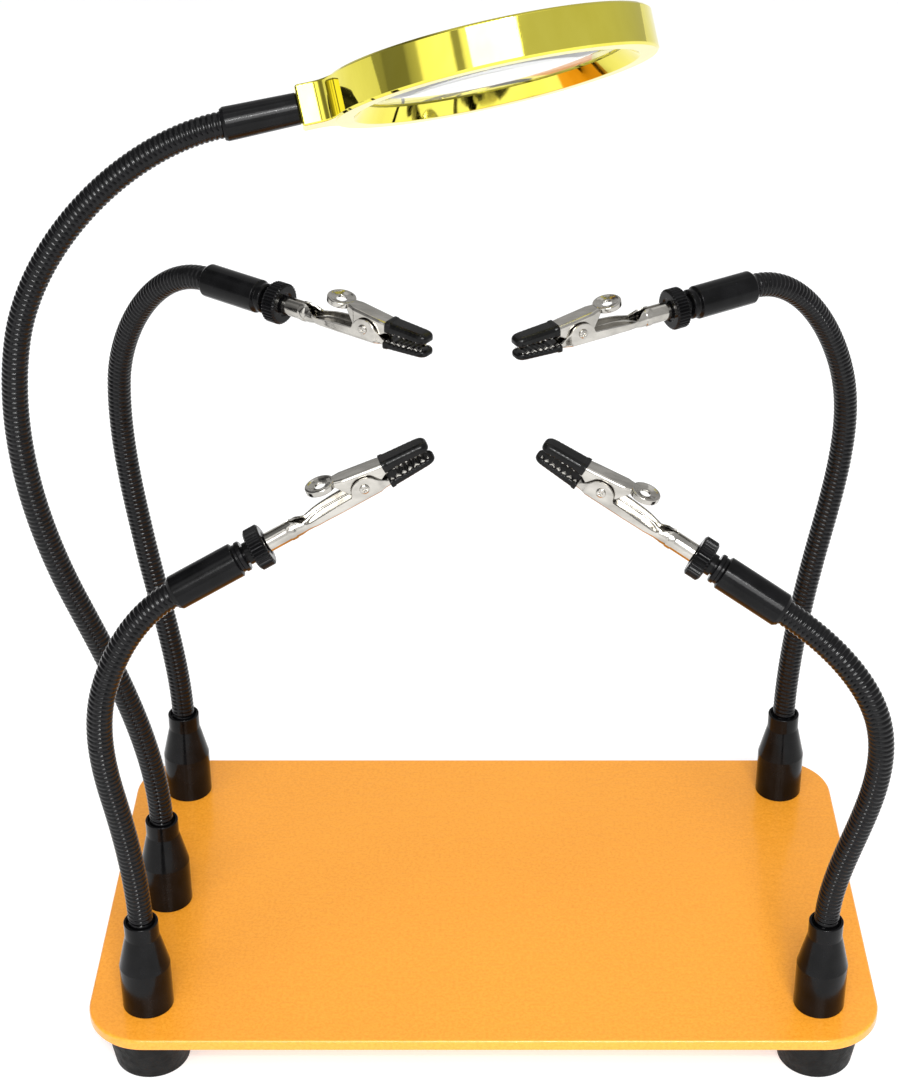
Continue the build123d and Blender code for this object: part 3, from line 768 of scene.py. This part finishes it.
def lens():
    """Glass that bulges on both faces, with a flat edge between the rim and its ring."""
    clear, edge, bulge, low, high, steps = 30.0, 35.0, 2.0, -1.2, 0.8, 24
    curve = (clear ** 2 + bulge ** 2) / (2 * bulge)
    dome = []
    for k in range(steps + 1):
        r = clear * k / steps
        dome.append((bulge - (curve - math.sqrt(curve ** 2 - r * r)), r))
    profile = [(low - rise, r) for rise, r in dome] + [(low, edge), (high, edge)]
    profile += [(high + rise, r) for rise, r in reversed(dome)]
    return lathe(profile, "Z", 160)


def magnifier():
    """Black ferrule, gold rim with its block, retaining ring and lens."""
    nose = nose_matrix(ARMS["magnifier"])
    tilt = Matrix.Rotation(math.radians(-HEAD_TILT), 4, "X")
    head = nose @ tilt @ Matrix.Translation((HEAD_REACH, 0, 0))
    sleeve = rounded([(-16.9, 2.6), (-17.4, 3.2), (-MAGNIFIER_FERRULE, 3.5, 0.12), (-16.7, 3.9, 0.3),
                      (-0.3, 3.62, 0.2), (0.0, 3.4), (0.0, 2.6)], 4)
    for name, parts, place, material, degrees, node in (
        ("magnifier_sleeve", [lathe(sleeve, "X", 64)], nose, ENAMEL, 38, "magnifier_ferrule"),
        ("magnifier_rim", rim(), head, GOLD, 30, "magnifier_ring"),
        ("magnifier_keeper", [retaining_ring()], head, KEEPER, 30, "magnifier_retaining_ring"),
        ("magnifier_glass", [lens()], head, GLASS, 20, "magnifier_lens"),
    ):
        finished(make(name, parts, place, material, degrees), "magnifier_head", node)


# ---------------------------------------------------------------- CAD pieces that stay

def keep_cad(node, material):
    """Leaves a CAD node in sight, with a better material."""
    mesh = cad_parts[node].data
    mesh.materials.clear()
    mesh.materials.append(material)


# ---------------------------------------------------------------- studio

def surroundings():
    """Room round the stand: a sweep of pale panels and dark gaps, which the gold rim mirrors as bands."""
    world = bpy.data.worlds.new("studio")
    world.use_nodes = True
    tree = world.node_tree
    coords = tree.nodes.new("ShaderNodeTexCoord")
    sweep = tree.nodes.new("ShaderNodeTexGradient")
    sweep.gradient_type = "RADIAL"
    tree.links.new(coords.outputs["Generated"], sweep.inputs["Vector"])
    ramp = tree.nodes.new("ShaderNodeValToRGB")
    ramp.color_ramp.interpolation = "EASE"
    bands = [(0.0, 0.45), (0.03, 0.42), (0.035, 0.28), (0.078, 0.3), (0.085, 0.6), (0.1, 0.75),
             (0.108, 1.9), (0.165, 2.2), (0.172, 0.5), (0.183, 0.5), (0.19, 1.7), (0.3, 1.7),
             (0.307, 0.84), (0.5, 0.84), (0.62, 0.7), (0.7, 0.75), (0.84, 0.75), (0.86, 0.12),
             (0.885, 0.15), (0.89, 0.7), (0.897, 0.12), (0.93, 0.15), (0.937, 0.6), (0.945, 0.15),
             (0.965, 0.2), (0.975, 0.5), (1.0, 0.45)]
    stops = ramp.color_ramp.elements
    stops.remove(stops[1])
    stops[0].position = 0.0
    for place, _ in bands[1:]:
        stops.new(place)
    for stop, (_, level) in zip(stops, bands):
        stop.color = (level, level, level, 1)
    tree.links.new(sweep.outputs["Fac"], ramp.inputs["Fac"])
    tree.links.new(ramp.outputs["Color"], tree.nodes["Background"].inputs["Color"])
    tree.nodes["Background"].inputs["Strength"].default_value = 0.75
    bpy.context.scene.world = world


def paper_floor():
    """Pale floor that stays white under soft light."""
    floor = bpy.data.objects.new("floor", bpy.data.meshes.new("floor"))
    bm = bmesh.new()
    bmesh.ops.create_grid(bm, x_segments=2, y_segments=2, size=6.0)
    bm.to_mesh(floor.data)
    bm.free()
    bpy.context.scene.collection.objects.link(floor)
    paper = surface("floor_paper", (0.6, 0.6, 0.6), (0.64, 0.64, 0.64), (0.6, 0.75), 8, 400, 0.02)
    shader = paper.node_tree.nodes["Principled BSDF"]
    shader.inputs["Emission Color"].default_value = (1.0, 1.0, 1.0, 1)
    shader.inputs["Emission Strength"].default_value = 0.5
    floor.data.materials.append(paper)


def lights():
    """Key softbox in front, a narrow strip beside it for the sparkle, and a soft light overhead."""
    aim = Vector((PLATE_CENTRE_X * MM, 0, 0.08))
    for name, spot, size, power in (("key", (0.035, -1.1, 1.0), (0.8, 0.75), 15),
                                    ("spark", (0.16, -1.0, 1.02), (0.4, 0.03), 5),
                                    ("top", (0.0, 0.15, 1.4), (1.1, 0.9), 1.5)):
        light = bpy.data.lights.new(name, "AREA")
        light.shape = "RECTANGLE"
        light.size, light.size_y = size
        light.energy = power
        lamp = bpy.data.objects.new(name, light)
        lamp.location = spot
        lamp.rotation_euler = (aim - Vector(spot)).to_track_quat("-Z", "Y").to_euler()
        bpy.context.scene.collection.objects.link(lamp)


def look():
    """Camera in front of the plate's middle, looking down at it."""
    pitch = 29.9
    camera = bpy.data.cameras.new("camera")
    camera.lens = 74.5
    camera.sensor_width = 36.0
    camera.shift_x = -0.032
    camera.clip_start = 0.02
    eye = bpy.data.objects.new("camera", camera)
    eye.location = (PLATE_CENTRE_X * MM, -0.4788, 0.4014)
    eye.rotation_euler = (math.radians(90 - pitch), 0, 0)
    bpy.context.scene.collection.objects.link(eye)
    bpy.context.scene.camera = eye
    bpy.context.scene.view_settings.view_transform = "Standard"


plate()
feet()
keep_cad("base_screws", SCREW)
for arm_name, spec in ARMS.items():
    last = "magnifier_head" if arm_name == "magnifier" else f"{arm_name}_upper"
    socket(arm_name, spec)
    gooseneck(arm_name, spec, last)
for arm_name in CLIP_ARMS:
    sleeve_tube(arm_name, ARMS[arm_name])
    clip(arm_name, ARMS[arm_name])
magnifier()
paper_floor()
surroundings()
lights()
look()
